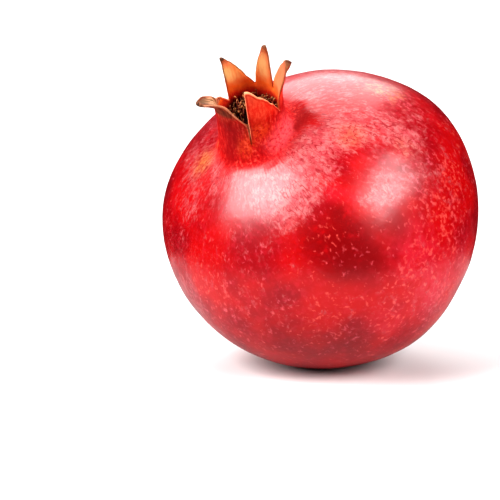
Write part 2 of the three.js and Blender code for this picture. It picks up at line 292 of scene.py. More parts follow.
def edge_columns():
    """The turn of each of the rind's columns round the mouth, the height of its edge, and its lobe."""
    turns, heights, lobes = [], [], []
    for index, lobe in enumerate(LOBES):
        after = LOBES[(index + 1) % len(LOBES)]
        end = after["start"] + (360 if after["start"] < lobe["start"] else 0)
        sides = [
            (lobe["start"], lobe["tip"], lobe["notch"], lobe["edges"][0], False),
            (end, lobe["tip"], after["notch"], lobe["edges"][1], True),
        ]
        for foot, tip, notch, power, falling in sides:
            share = np.linspace(0, 1, EDGE_SAMPLES) ** 3
            turn = foot + (tip - foot) * share
            apex = lobe["length"] + lobe["blunt"]
            drop = (apex - notch) * (1 - share ** power)
            height = MM * (apex - (drop ** 4 + lobe["blunt"] ** 4) ** 0.25)
            steps = np.hypot(np.diff(np.radians(turn)) * MOUTH_RADIUS, np.diff(height))
            length = np.concatenate([[0], np.cumsum(steps)])
            count = round(length[-1] / EDGE_STEP)
            if falling:
                places = length[-1] * (1 - np.arange(count) / count)
            else:
                places = length[-1] * np.arange(count) / count
            turns.extend(np.interp(places, length, turn))
            heights.extend(np.interp(places, length, height))
            lobes.extend([index] * count)
    turns, heights = np.array(turns), np.array(heights)
    for _ in range(EDGE_ROUNDINGS):
        turns, heights = rounded(turns, 360), rounded(heights, 0)
    around = np.stack([np.cos(np.radians(turns)), np.sin(np.radians(turns)), heights / MOUTH_RADIUS], 1)
    return turns, heights + EDGE_WOBBLE * waves(around, EDGE_WOBBLE_SIZE), np.array(lobes)


def neck_radius(height):
    """Outer radius of the neck at a height above the fruit's centre."""
    share = np.clip((height - NECK_ROOT) / (MOUTH - NECK_ROOT), 0, 1)
    flare = (NECK_ROOT_RADIUS - NECK_RADIUS) * np.exp((NECK_ROOT - height) / NECK_FLARE)
    straight = NECK_RADIUS + (MOUTH_RADIUS - NECK_RADIUS) * share
    return straight - NECK_WAIST * np.sin(math.pi * share) + flare


def wall_thickness(height):
    """How thick the rind is, which thins from the neck to the lobes."""
    return WALL + (EDGE_WALL - WALL) * np.clip((height - PLAIN_TOP) / (MOUTH - PLAIN_TOP), 0, 1)


def rind_profile():
    """The rind's section on the upright fruit, from the stem end to the middle of the cup's floor."""
    profile = []
    shoulder = math.pi - math.asin(NECK_ROOT_RADIUS / EQUATOR_RADIUS)
    for i in range(BODY_ROWS):
        angle = shoulder * i / BODY_ROWS
        radius = EQUATOR_RADIUS * math.sin(angle)
        in_dimple = 1 - smoothstep(radius, DIMPLE_SEAT, DIMPLE_RADIUS) if angle < math.pi / 2 else 0
        profile.append((radius, -POLE_RADIUS * math.cos(angle) + DIMPLE_DEPTH * in_dimple))
    for i in range(NECK_ROWS):
        height = NECK_ROOT + (PLAIN_TOP - NECK_ROOT) * (i / NECK_ROWS) ** 1.5
        profile.append((float(neck_radius(height)), height))
    rows = [1 - (1 - i / LOBE_ROWS) ** ROWS_TO_EDGE for i in range(LOBE_ROWS)]
    tube = [PLAIN_TOP + (TUBE_TOP - PLAIN_TOP) * row for row in rows]
    profile += [(MOUTH_RADIUS, height) for height in tube]
    profile.append((MOUTH_RADIUS - EDGE_WALL / 2, TUBE_TOP))
    profile += [(MOUTH_RADIUS - EDGE_WALL, height) for height in reversed(tube)]
    profile += [(CUP_RADIUS, CUP_FLOOR), (CUP_RADIUS / 2, CUP_FLOOR), (0, CUP_FLOOR)]
    return profile


turns, edge_heights, lobe_of = edge_columns()
columns = len(turns)
rind = turned("rind", rind_profile(), columns)

# Which column, side and height of the plain turned shape each vertex has.
plain = points_of(rind)
radius = np.hypot(plain[:, 0], plain[:, 1])
height = plain[:, 2].copy()
even = np.degrees(np.arctan2(plain[:, 1], plain[:, 0])) % 360
column = np.round(even * columns / 360).astype(int) % columns
even_turn = LOBES[0]["start"] + 360 * column / columns
turn = even_turn + (turns[column] - even_turn) * smoothstep(height, 0, NECK_ROOT)
in_lobes = height > PLAIN_TOP - TINY
near = height > CUP_FLOOR - TINY
side = np.sign(np.round((radius - MOUTH_RADIUS + EDGE_WALL / 2) / MM, 3))
inner = (in_lobes & (side < 0)) | (near & ~in_lobes & (radius < CUP_RADIUS + TINY))


def of_lobe(name, scale=1):
    """A size of each vertex's own lobe, or 0 where its lobe has none."""
    return scale * np.array([lobe.get(name, 0) for lobe in LOBES], float)[lobe_of[column]]


def of_next_lobe(name):
    """A size of the lobe that comes after each vertex's own."""
    return np.roll([lobe[name] for lobe in LOBES], -1)[lobe_of[column]]


# Each column is stretched or pressed down to its edge.
share = (height - PLAIN_TOP) / (TUBE_TOP - PLAIN_TOP)
along = np.where(in_lobes, PLAIN_TOP + (MOUTH + edge_heights[column] - PLAIN_TOP) * share, height)
above = along - MOUTH
length = of_lobe("length", MM)
apex = length + of_lobe("blunt", MM)
edge_line = np.stack([np.radians(turns) * MOUTH_RADIUS, MOUTH + edge_heights], 1)
whole_turn = np.array([math.tau * MOUTH_RADIUS, 0])
edge_line = np.concatenate([edge_line - whole_turn, edge_line, edge_line + whole_turn])


def gap_to_edge(places):
    """How far each place on the unrolled neck is from the line of the lobes' edges."""
    start, run = edge_line[:-1], np.diff(edge_line, axis=0)
    nearest = np.full(len(places), np.inf)
    at_a_time = 2000
    for first in range(0, len(places), at_a_time):
        some = places[first:first + at_a_time, None]
        share = np.clip(((some - start) * run).sum(2) / (run ** 2).sum(1), 0, 1)
        gap = some - start - share[..., None] * run
        nearest[first:first + at_a_time] = np.hypot(gap[..., 0], gap[..., 1]).min(1)
    return nearest


edge_gap = np.full(len(plain), FAR_FROM_EDGE)
edge_gap[near] = gap_to_edge(np.stack([np.radians(turn[near]) * MOUTH_RADIUS, along[near]], 1))


def off_middle():
    """How far each vertex is from its lobe's middle line, as a share of the lobe's half width there."""
    tip = of_lobe("tip")
    falling = turns[column] > tip
    after = of_next_lobe("start")
    foot = np.where(falling, np.where(after < tip, after + 360, after), of_lobe("start"))
    foot_height = MM * np.where(falling, of_next_lobe("notch"), of_lobe("notch"))
    power = np.array([lobe["edges"] for lobe in LOBES])[lobe_of[column], falling.astype(int)]
    edge_share = np.clip((above - foot_height) / (apex - foot_height), 0, 1) ** (1 / power)
    return np.clip((turns[column] - tip) / (foot - tip) / np.maximum(1 - edge_share, 0.001), 0, 1)


out_of_middle = off_middle()

# The wall gets its thickness, rolled edges, ripples and middle rib, and the lobes curl outwards.
ramp = smoothstep(above, 0, TROUGH_RAMP)
turn += (of_lobe("tip") - turn) * np.where(in_lobes, of_lobe("pinch") * ramp, 0)
trough = of_lobe("trough", MM) * ramp * (1 - smoothstep(above, TROUGH_END * length, length))
rolled_in = trough * out_of_middle ** 2
rim = np.exp(-((edge_gap / RIM_DEPTH) ** 2)) * smoothstep(above, -RIM_FADE, 0)
up_lobe = above / length
knob = of_lobe("knob") * smoothstep(up_lobe, 0.8, 0.97)
half_wall = wall_thickness(along) / 2 * (1 + of_lobe("thick_rim") * rim + knob)
blunted = np.maximum(of_lobe("blunt_edge"), smoothstep(up_lobe, 0.75, 0.9))
taper = EDGE_TAPER + (EDGE_ROUND - EDGE_TAPER) * blunted
roundness = np.sqrt(1 - (1 - np.clip(edge_gap / taper, 0, 1)) ** 2)
flat_place = np.stack([np.cos(np.radians(turn)), np.sin(np.radians(turn)), along / MOUTH_RADIUS], 1)
ripple = LOBE_RIPPLE * waves(flat_place, LOBE_RIPPLE_SIZE) * smoothstep(up_lobe, 0, 0.7)
rib = LOBE_RIB * np.exp(-((out_of_middle / LOBE_RIB_WIDTH) ** 2)) * (side > 0)
rib *= smoothstep(up_lobe, -0.3, 0.2)
offset = side * half_wall * roundness - rolled_in + ripple + rib * roundness
middle = neck_radius(along) - wall_thickness(along) / 2
curl = np.radians(of_lobe("curl"))
curled = np.clip(above - of_lobe("curl_from", MM), 0, None)
arc_radius = (length - of_lobe("curl_from", MM)) / np.maximum(curl, 0.001)
angle = curled / arc_radius
radius = np.where(in_lobes, middle + arc_radius * (1 - np.cos(angle)) + offset * np.cos(angle), radius)
height = np.where(in_lobes, along - curled + arc_radius * np.sin(angle) - offset * np.sin(angle), height)
turn = np.radians(turn)
points = np.stack([radius * np.cos(turn), radius * np.sin(turn), height], 1)


def rind_rise(directions):
    """How far the ribs and swells push the body out, in directions from the fruit's centre."""
    level = np.hypot(directions[:, 0], directions[:, 1])
    around = np.arctan2(directions[:, 1], directions[:, 0])
    rise = RIB_RISE * np.cos(RIBS * around) * level ** 2
    for swell in SWELLS:
        climb = math.radians(swell["climb"])
        sideways = math.cos(climb) * level * np.cos(around - math.radians(swell["turn"]))
        apart = np.arccos(np.clip(sideways + math.sin(climb) * directions[:, 2], -1, 1))
        rise += swell["rise"] * np.exp(-((apart / math.radians(swell["spread"])) ** 2))
    return rise


body = ~near & (height < NECK_ROOT)
directions = points / np.linalg.norm(points, axis=1, keepdims=True)
clear_of_stalk = smoothstep(radius, DIMPLE_SEAT, DIMPLE_RADIUS)
clear_of_neck = 1 - smoothstep(height, SWELL_FADE, NECK_ROOT)
rise = np.where(body, rind_rise(directions) * clear_of_stalk * clear_of_neck, 0)
points += directions * rise[:, None]
set_points(rind, points)

# Leathery lumps, too low to see but in the way that the skin shines.
bpy.ops.object.select_all(action="DESELECT")
rind.select_set(True)
bpy.context.view_layer.objects.active = rind
lumps = bpy.data.textures.new("lumps", "CLOUDS")
lumps.noise_scale = LUMP_SIZE
bpy.ops.object.modifier_add(type="DISPLACE")
displace = rind.modifiers[-1]
displace.texture = lumps
displace.texture_coords = "LOCAL"
displace.strength = LUMP_RISE
displace.mid_level = 0.5
bpy.ops.object.modifier_apply(modifier=displace.name)


def patched(patches):
    """How strongly a set of soft patches covers each vertex, from 0 to 1."""
    bare = np.ones(len(grown))
    for turn_at, height_at, reach, strength in patches:
        height_at *= MM
        on_body = EQUATOR_RADIUS * math.sqrt(max(1 - (height_at / POLE_RADIUS) ** 2, 0))
        out = on_body if height_at < NECK_ROOT else float(neck_radius(height_at))
        turn_at = math.radians(turn_at)
        centre = (out * math.cos(turn_at), out * math.sin(turn_at), height_at)
        apart = np.linalg.norm(grown - centre, axis=1)
        bare *= 1 - strength * np.exp(-((apart / (reach * MM)) ** 3))
    return 1 - bare


def up_from(values, low, high):
    """Values of the crown's vertices, brought in between two heights given as shares of the lobe."""
    return np.where(near, values, 0) * smoothstep(up_lobe, low, high)


# What the finish follows: the place on the unbent fruit, a stretched place whose noise runs in strokes
# from crown to stem end, the gap to the edge, the side, how far up its lobe a place is, and the patches.
# The strokes are counted along the skin, and NECK_AHEAD is how much further that is than the neck's height.
STREAK_RADIUS = 34 * MM
STREAK_STRETCH = 0.36
NECK_AHEAD = 17 * MM
on_neck = neck_radius(along)
grown = np.stack([on_neck * np.cos(turn), on_neck * np.sin(turn), along], 1)
grown[body] = points[body]
over_body = EQUATOR_RADIUS * np.arcsin(np.clip(grown[:, 2] / POLE_RADIUS, -1, 1))
down_skin = STREAK_STRETCH * np.where(body, over_body, along + NECK_AHEAD)
around = np.arctan2(grown[:, 1], grown[:, 0])
marks = {
    "grown": grown,
    "streak": np.stack([STREAK_RADIUS * np.cos(around), STREAK_RADIUS * np.sin(around), down_skin], 1),
    "edge_gap": edge_gap / MM,
    "inner": inner + 0.5 * (in_lobes & (side == 0)),
    "up_lobe": np.where(near, up_lobe, -1),
    "on_neck": smoothstep(grown[:, 2], NECK_ROOT - 0.3 * MM, NECK_ROOT + 1.4 * MM),
    "off_middle": np.where(near, out_of_middle, 0),
    "withered": up_from(of_lobe("withered"), -0.1, 0.35),
    "withered_lobe": up_from(of_lobe("withered"), -0.3, -0.1),
    "pale_rim": up_from(of_lobe("blunt_edge") > 0, -0.42, -0.15),
    "dry_tip": up_from(of_lobe("dry_tip"), 0.86, 0.98),
}
for name, values in marks.items():
    mark_all(rind, name, values)
for name, patches in PATCHES.items():
    mark_all(rind, name, patched(patches))
set_points(rind, lay_down(bend_neck(points_of(rind))))

# The flat spot that the fruit rests on.
bpy.ops.object.mode_set(mode="EDIT")
bpy.ops.mesh.select_all(action="SELECT")
bpy.ops.mesh.bisect(
    plane_co=(0, 0, 0), plane_no=(0, 0, 1), threshold=TINY, use_fill=True, clear_inner=True
)
bpy.ops.object.mode_set(mode="OBJECT")
bpy.ops.object.shade_smooth()


class Value:
    """A number, colour or shader in a finish. A sum of values adds the Math nodes that work it out."""

    def __init__(self, finish, socket):
        self.finish = finish
        self.socket = socket

    def __add__(self, other):
        return self.finish.sum("ADD", self, other)

    def __radd__(self, other):
        return self.finish.sum("ADD", other, self)

    def __sub__(self, other):
        return self.finish.sum("SUBTRACT", self, other)

    def __rsub__(self, other):
        return self.finish.sum("SUBTRACT", other, self)

    def __mul__(self, other):
        return self.finish.sum("MULTIPLY", self, other)

    def __rmul__(self, other):
        return self.finish.sum("MULTIPLY", other, self)


class Finish:
    """A material, or the light of a world, built up node by node."""

    def __init__(self, owner):
        owner.use_nodes = True
        self.tree = owner.node_tree
        self.tree.nodes.clear()

    def node(self, kind, settings, sockets, output=0):
        """Adds a node of a kind, with its settings and then the values or links of its sockets."""
        made = self.tree.nodes.new("ShaderNode" + kind)
        for name, value in settings.items():
            setattr(made, name, value)
        for name, value in sockets.items():
            if isinstance(value, Value):
                self.tree.links.new(value.socket, made.inputs[name])
            else:
                made.inputs[name].default_value = value
        return Value(self, made.outputs[output] if made.outputs else None)

    def sum(self, operation, first, second):
        return self.node("Math", {"operation": operation}, {0: first, 1: second})

    def mark(self, name, output="Fac"):
        """What mark_all wrote: a number from Fac, or a place from Vector."""
        return self.node("Attribute", {"attribute_name": name}, {}, output)

    def noise(self, place, scale, detail=2, roughness=0.5, swirl=0):
        """Noise of 0 to 1, whose scale counts its hills to the metre."""
        return self.node("TexNoise", {}, {
            "Vector": place, "Scale": scale, "Detail": detail, "Roughness": roughness,
            "Distortion": swirl,
        })

    def stretch(self, place, scale):
        return self.node("VectorMath", {"operation": "MULTIPLY"}, {0: place, 1: scale})

    def step(self, value, low, high):
        """0 below low and 1 above high, with a soft step between them."""
        return self.node("MapRange", {"interpolation_type": "SMOOTHSTEP"}, {0: value, 1: low, 2: high})

    def mix(self, share, first, second):
        """A colour between two, from the sockets that a Mix node keeps for colours."""
        return self.node("Mix", {"data_type": "RGBA"}, {0: share, 6: first, 7: second}, 2)

    def bump(self, height, distance):
        return self.node("Bump", {}, {"Height": height, "Distance": distance})

    def mix_shaders(self, share, first, second):
        return self.node("MixShader", {}, {0: share, 1: first, 2: second})

    def coat(self, sockets):
        return self.node("BsdfPrincipled", {}, sockets)

    def light_through(self, tint, normal):
        return self.node("BsdfTranslucent", {}, {"Color": tint, "Normal": normal})

    def finished(self, shader, kind="Material"):
        self.node("Output" + kind, {}, {"Surface": shader})


def colour(red, green, blue):
    """A colour given in screen values of 0 to 255."""
    shares = [value / 255 for value in (red, green, blue)]
    return (*(((share + 0.055) / 1.055) ** 2.4 if share > 0.04 else share / 12.92 for share in shares), 1)


def finish_for(piece, name):
    """A new finish, put on a piece in place of any other."""
    piece.data.materials.clear()
    piece.data.materials.append(bpy.data.materials.new(name))
    return Finish(piece.data.materials[0])


# The skin's colours: its ground, its pale skin and flecks, the neck, the lobes and what has dried, with
# some painted shade and painted light among them.
CRIMSON = colour(148, 0, 20)
WARM_RED = colour(184, 4, 12)
ROSE = colour(194, 36, 56)
PALE_ROSE = colour(196, 40, 60)
DEEP_RED_AND_SHADE = colour(128, 0, 8)
CROWN_RED_LIFTING_SHADE = colour(188, 0, 6)
DUSTY_ROSE = colour(182, 74, 80)
SALMON = colour(194, 112, 112)
APRICOT = colour(206, 122, 74)
RED_GRAIN = colour(178, 46, 52)
CRACK_RED = colour(146, 20, 34)
FINE_CRACK_RED = colour(150, 16, 30)
CRIMSON_FLECK = colour(208, 92, 106)
WARM_FLECK = colour(222, 98, 88)
NECK_RED = colour(170, 0, 8)
NECK_FIBRE_RED = colour(206, 36, 34)
NECK_PINK = colour(224, 92, 100)
NECK_ORANGE = colour(236, 88, 42)
NECK_DEEP_RED_AND_SHADE = colour(160, 0, 10)
NECK_SPECKLE = colour(232, 104, 88)
LOBE_RED = colour(236, 66, 54)
LOBE_CORAL = colour(255, 122, 90)
LOBE_PEACH = colour(255, 150, 112)
CUP_BROWN = colour(96, 12, 8)
CUP_RED = colour(196, 48, 30)
LOBE_ORANGE = colour(255, 140, 62)
LOBE_YELLOW = colour(255, 250, 176)
LOBE_AMBER = colour(255, 196, 122)
DRYING_PEACH = colour(255, 190, 138)
DRYING_TAN = colour(208, 124, 92)
DRYING_PINK = colour(226, 154, 124)
FIBRE_ORANGE = colour(230, 122, 72)
WITHERED_BROWN = colour(104, 60, 46)
WITHERED_TAN = colour(230, 172, 142)
WITHERED_GREY = colour(98, 78, 60)
SHRUNK_BROWN = colour(84, 54, 34)
SHRUNK_TAN = colour(150, 92, 60)
RIM_RUST = colour(190, 84, 48)
RIM_BROWN = colour(96, 54, 36)
SHADE_UNDER_RIM_RED = colour(150, 40, 26)
RIM_PEACH = colour(255, 190, 146)
RIM_TAN = colour(210, 146, 116)
TIP_DARK = colour(72, 42, 28)
TIP_BROWN = colour(132, 84, 58)
RED_LIGHT = colour(230, 76, 54)
ORANGE_LIGHT = colour(255, 150, 76)
YELLOW_LIGHT = colour(255, 236, 156)

skin = finish_for(rind, "rind_skin")
place = skin.mark("grown", "Vector")
strokes_way = skin.mark("streak", "Vector")
pale_patch = skin.mark("pale")
fleck_patch = skin.mark("flecked")
orange_patch = skin.mark("orange")
deep_and_shade_patch = skin.mark("deep_and_shade")
pink_and_lit_patch = skin.mark("pink_and_lit")
matte_and_lit_patch = skin.mark("matte")
on_neck = skin.mark("on_neck")
up_lobe = skin.mark("up_lobe")
withered = skin.mark("withered")
withered_lobe = skin.mark("withered_lobe")

# The red ground is warmer or more crimson from place to place, and deeper or pinker in patches. Its deeper
# patches are partly deep red skin and partly painted shade, on the front, at the neck's foot and under the
# withered lobe.
blotches = skin.noise(place, 60, 3)
clumps = skin.noise(place, 230, 4, 0.6)
wide_strokes = skin.noise(strokes_way, 420, 3, 0.6)
grain = skin.noise(place, 2000, 2, 0.5)
warmth = skin.step(blotches, 0.35, 0.65)
red = skin.mix(warmth, CRIMSON, WARM_RED)
# The rose of the pink patches is partly pink skin and partly painted light from the floor, low on the
# body's side.
red = skin.mix(pink_and_lit_patch * skin.step(clumps, 0.25, 0.55), red, ROSE)
worms = skin.noise(skin.stretch(strokes_way, (1, 1, 1.8)), 800, 2, 0.5, 0.3)
red = skin.mix(skin.step(worms, 0.45, 0.7) * 0.3, red, PALE_ROSE)
red = skin.mix(deep_and_shade_patch * skin.step(clumps, 0.2, 0.5), red, DEEP_RED_AND_SHADE)
# In the matte patches at the neck's foot a brighter, purer red is painted light that lifts the crown's
# shade.
red = skin.mix(matte_and_lit_patch, red, CROWN_RED_LIFTING_SHADE)

# Pale salmon skin in patches. It breaks up at their borders, and short thin dark cracks run through it.
mottle = skin.noise(skin.stretch(strokes_way, (1, 1, 1.7)), 800, 3, 0.6, 0.8)
crowding = pale_patch * 1.2 - deep_and_shade_patch * 0.6 + (clumps - 0.5) * 1.1 + (wide_strokes - 0.5) * 0.9
pale = skin.step(crowding + (mottle - 0.5) * 1.9, 0.08, 0.97)
salmon = skin.noise(place, 420, 3, 0.6)
dusty = skin.mix(skin.step(salmon, 0.38, 0.62), DUSTY_ROSE, SALMON)
dusty = skin.mix(orange_patch * skin.step(clumps, 0.25, 0.5), dusty, APRICOT)
dusty = skin.mix(skin.step(grain * 0.5 + worms * 0.5, 0.48, 0.62) * 0.28, dusty, RED_GRAIN)
body_colour = skin.mix(pale, red, dusty)
vein = skin.noise(skin.stretch(strokes_way, (1, 1, 1.1)), 480, 1) - 0.5
broken = skin.step(skin.noise(place, 480, 1), 0.4, 0.5)
cracks = (1 - skin.step(vein * vein, 0.0001, 0.0012)) * broken * pale
body_colour = skin.mix(cracks * 0.8, body_colour, CRACK_RED)
fine_vein = skin.noise(skin.stretch(strokes_way, (1, 1, 1.3)), 850, 1) - 0.5
fine_broken = skin.step(skin.noise(place, 700, 1), 0.46, 0.56)
fine_cracks = (1 - skin.step(fine_vein * fine_vein, 0.0002, 0.0022)) * fine_broken * pale
body_colour = skin.mix(fine_cracks * 0.6, body_colour, FINE_CRACK_RED)

# Soft flecks on the red.
spots = skin.noise(skin.stretch(strokes_way, (1, 1, 1.6)), 1000, 2, 0.5, 0.4)
spotting = fleck_patch + (clumps - 0.5) * 1.1 - 0.36
fleck = skin.step(spots + spotting * 0.14, 0.53, 0.74)
fleck_colour = skin.mix(warmth, CRIMSON_FLECK, WARM_FLECK)
body_colour = skin.mix(fleck * 0.62, body_colour, fleck_colour)

# The neck is a duller red with fine lengthwise fibres, orange by the slit and pink on its far side.
fibres = skin.noise(skin.stretch(place, (1, 1, 0.25)), 1300, 4, 0.65)
freckles = skin.noise(place, 900, 3, 0.6)
neck_red = skin.mix(skin.step(fibres, 0.38, 0.62), NECK_RED, NECK_FIBRE_RED)
neck_red = skin.mix(pink_and_lit_patch * skin.step(freckles, 0.25, 0.55), neck_red, NECK_PINK)
neck_red = skin.mix(orange_patch * skin.step(freckles, 0.3, 0.6), neck_red, NECK_ORANGE)
# The neck's deep patches are partly deep red skin and partly painted shade under the withered lobe and at
# the neck's foot.
neck_red = skin.mix(deep_and_shade_patch * 0.9, neck_red, NECK_DEEP_RED_AND_SHADE)
speckles = skin.step(freckles + fibres, 1.04, 1.24) * (1 - deep_and_shade_patch)
neck_red = skin.mix(speckles * 0.5, neck_red, NECK_SPECKLE)
outside = skin.mix(on_neck, body_colour, neck_red)

# The lobes turn from red through orange to yellow inside, and their edges and tips have dried brown.
rising = up_lobe + (clumps - 0.5) * 0.3
off_middle = skin.mark("off_middle")
to_edge = skin.mark("edge_gap")
threads = skin.step(fibres * 0.6 + freckles * 0.4, 0.4, 0.6)
flushed = skin.mix(threads, LOBE_RED, LOBE_CORAL)
flushed = skin.mix(skin.step(rising, 0.5, 0.9) * 0.6, flushed, LOBE_PEACH)
outside = skin.mix(skin.step(rising, 0.0, 0.45) * 0.85, outside, flushed)
inside = skin.mix(skin.step(rising, -0.5, -0.2), CUP_BROWN, CUP_RED)
inside = skin.mix(skin.step(rising, -0.2, 0.08), inside, LOBE_ORANGE)
lobe_fibres = skin.noise(skin.stretch(place, (1, 1, 0.14)), 1600, 3, 0.6)
to_side = skin.step(off_middle + (lobe_fibres - 0.5) * 0.8, 0.2, 1)
ripe = skin.mix(to_side, LOBE_YELLOW, LOBE_AMBER)
inside = skin.mix(skin.step(rising, 0.0, 0.36), inside, ripe)
inside = skin.mix(skin.step(rising + off_middle * 0.1, 0.6, 0.85), inside, DRYING_PEACH)
inside = skin.mix(skin.step(rising + off_middle * 0.1, 0.76, 0.95), inside, DRYING_TAN)
inside = skin.mix(pink_and_lit_patch * 0.8, inside, DRYING_PINK)
inside = skin.mix(skin.step(lobe_fibres, 0.5, 0.7) * 0.35, inside, FIBRE_ORANGE)
tan = skin.mix(skin.step(lobe_fibres, 0.4, 0.6), WITHERED_BROWN, WITHERED_TAN)
tan = skin.mix(skin.step(rising, 0.55, 0.9), tan, WITHERED_GREY)
inside = skin.mix(skin.step(withered + rising * 0.6, 0.05, 0.3) * withered_lobe * 0.9, inside, tan)
bark = skin.mix(skin.step(lobe_fibres, 0.4, 0.6), SHRUNK_BROWN, SHRUNK_TAN)
outside = skin.mix(skin.step(withered, 0.7, 1) * 0.8, outside, bark)
inner_side = skin.step(skin.mark("inner"), 0.3, 0.7)
skin_colour = skin.mix(inner_side, outside, inside)
to_rim = to_edge + (clumps - 0.5) * 0.4
pale_rim = skin.mark("pale_rim")
brown_rim = skin.mix(skin.step(up_lobe, -0.1, 0.5), RIM_RUST, RIM_BROWN)
# A thin darker red line just under the blunt pale rims is painted shade below the rim.
shade_under_rim = skin.step(to_rim, 0.35, 0.6) * (1 - skin.step(to_rim, 0.7, 1.1)) * pale_rim
skin_colour = skin.mix(shade_under_rim * 0.55, skin_colour, SHADE_UNDER_RIM_RED)
dried_rim = skin.mix(withered_lobe, RIM_PEACH, RIM_TAN)
rim_colour = skin.mix(pale_rim, brown_rim, dried_rim)
rim_share = (1 - skin.step(to_rim, 0.1, 0.42)) * 0.75
skin_colour = skin.mix(rim_share, skin_colour, rim_colour)
tip = skin.step(skin.mark("dry_tip") + (grain - 0.5) * 0.4, 0.2, 0.7)
tip_colour = skin.mix(skin.step(grain, 0.4, 0.6), TIP_DARK, TIP_BROWN)
skin_colour = skin.mix(tip, skin_colour, tip_colour)

# The body is glossy, and the neck and the lobes are matte. The thin lobes let some light through, which
# looks red on the outside and orange to yellow on the inside, but less of it where rims and tips dried.
leather = skin.noise(place, 620, 2, 0.5)
glossy = skin.coat({
    "Base Color": skin_colour,
    "Roughness": 0.33 + grain * 0.03,
    "Coat Weight": 0.26,
    "Coat Roughness": 0.17,
    "Normal": skin.bump(leather * 0.6 + grain * 0.1, 0.06 * MM),
})
fibrous = skin.bump(fibres * 0.7 + grain * 0.3, 0.16 * MM)
matte = skin.coat({
    "Base Color": skin_colour,
    "Roughness": 0.62,
    "Specular IOR Level": 0.22,
    "Normal": fibrous,
})
shader = skin.mix_shaders(skin.step(on_neck + matte_and_lit_patch, 0.1, 0.9), glossy, matte)
red_light = skin.light_through(RED_LIGHT, fibrous)
orange_light = skin.light_through(ORANGE_LIGHT, fibrous)
yellow_light = skin.light_through(YELLOW_LIGHT, fibrous)
yellowing = skin.step(rising - off_middle * 0.25, -0.1, 0.35)
through = skin.mix_shaders(inner_side, red_light, skin.mix_shaders(yellowing, orange_light, yellow_light))
thin = skin.step(up_lobe, -0.15, 0.2) * (0.5 - withered * 0.35) * (1 - tip) * (1 - rim_share * 0.7)
skin.finished(skin.mix_shaders(thin, shader, through))
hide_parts("fruit")
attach(rind, "root")

# ---------------------------------------------------------------------------------------------------
# Stamens: what is left of the flower in the cup, a tuft of dried threads round the style, each ending
# in its withered anther. They grew from a scurfy pad on the cup's floor, and are a few millimetres long.
GAP = 0.3 * MM
PAD_RADIUS = 8.8 * MM
PAD_TOP_RADIUS = 8 * MM
PAD_HEIGHT = 1.6 * MM
PAD_EDGE = 0.3 * MM
PAD_RINGS = 9
PAD_SIDES = 48
SCURF_SIZE = 1.1 * MM
SCURF_RISE = 0.35 * MM
ROOT_SHARE = 0.7
THREADS = 300
THREAD_SIDES = 5
THREAD_LENGTH = 8 * MM
THREAD_SCALES = (0.4, 0.82)
THREAD_REACH = (1.6 * MM, 8.1 * MM)
THREAD_HEADINGS = (-2.2, 2.2)
THREAD_LEANS = (0.1, 1.0)
THREAD_DROOPS = (0.2, 1.9)
THREAD_TWISTS = (-1.6, 1.6)
THREAD_GIRTHS = (0.85, 1.2)
TUFT_SEED = 7
TUFT_RADIUS = 8.9 * MM
SLIT_TURN = math.radians(272)
SLIT_THINNING = 0.7
TUFT_SLOPE = 0.25
TUFT_HIGH_SIDE = math.radians(20)
SWAY_STEPS = 60

# The radii and heights of a stamen and of the style, in millimetres.
THREAD_SECTION = [
    (0, 0), (0.26, 0), (0.22, 1.1), (0.19, 2.3), (0.17, 3.5), (0.15, 4.7), (0.14, 5.8), (0.15, 6.6),
    (0.24, 6.9), (0.29, 7.25), (0.22, 7.7), (0, 7.85),
]
STYLE_SIDES = 12
STYLE_PALENESS = 0.75
STYLE_TINT = 0.4
STYLE_SECTION = [
    (0, 0), (0.95, 0), (0.85, 1.5), (0.74, 3), (0.68, 4.5), (0.65, 6), (0.68, 7.4), (0.95, 7.8),
    (1.2, 8.3), (1.1, 8.9), (0.6, 9.3), (0, 9.35),
]
GOLDEN_TURN = math.pi * (3 - math.sqrt(5))
THREAD_DARK = colour(36, 10, 4)
THREAD_BROWN = colour(92, 34, 18)
THREAD_RUST = colour(96, 34, 20)
THREAD_STRAW = colour(206, 120, 96)
ANTHER_BROWN = colour(70, 38, 18)
ANTHER_STRAW = colour(186, 134, 84)
chance = random.Random(TUFT_SEED)


def swayed(points, length, lean, droop, heading, twist):
    """Bends a straight upright stem over as it rises, and lets its end droop. It gives the middle of the
    stem at each point, and the point's place in the stem's section there."""
    steps = np.linspace(0, 1, SWAY_STEPS)
    tilt = lean * steps ** 1.3 + droop * smoothstep(steps, 0.72, 0.95)
    way = heading + twist * steps
    ahead = np.stack([np.sin(tilt) * np.cos(way), np.sin(tilt) * np.sin(way), np.cos(tilt)], 1)
    path = np.cumsum(ahead, axis=0) * length / len(steps)
    share = np.clip(points[:, 2] / length, 0, 1)
    centre = np.stack([np.interp(share, steps, path[:, i]) for i in range(3)], 1)
    tilt, way = np.interp(share, steps, tilt), np.interp(share, steps, way)
    over = np.stack([np.cos(tilt) * np.cos(way), np.cos(tilt) * np.sin(way), -np.sin(tilt)], 1)
    aside = np.stack([-np.sin(way), np.cos(way), np.zeros(len(way))], 1)
    return centre, over * points[:, :1] + aside * points[:, 1:2]


pad_section = [(0, 0), (PAD_RADIUS, 0), (PAD_RADIUS - PAD_EDGE, PAD_HEIGHT * 0.6)]
pad_section += [(PAD_TOP_RADIUS * (1 - i / PAD_RINGS), PAD_HEIGHT) for i in range(PAD_RINGS)]
pad_section.append((0, PAD_HEIGHT))
pad = turned("pad", pad_section, PAD_SIDES)
points = points_of(pad)
scurf = SCURF_RISE * waves(points, SCURF_SIZE)
points[:, 2] += np.where(points[:, 2] > PAD_HEIGHT * 0.9, scurf, 0) + CUP_FLOOR + GAP
set_points(pad, points)
mark_all(pad, "up_thread", np.zeros(len(points)))
mark_all(pad, "tint", np.zeros(len(points)))

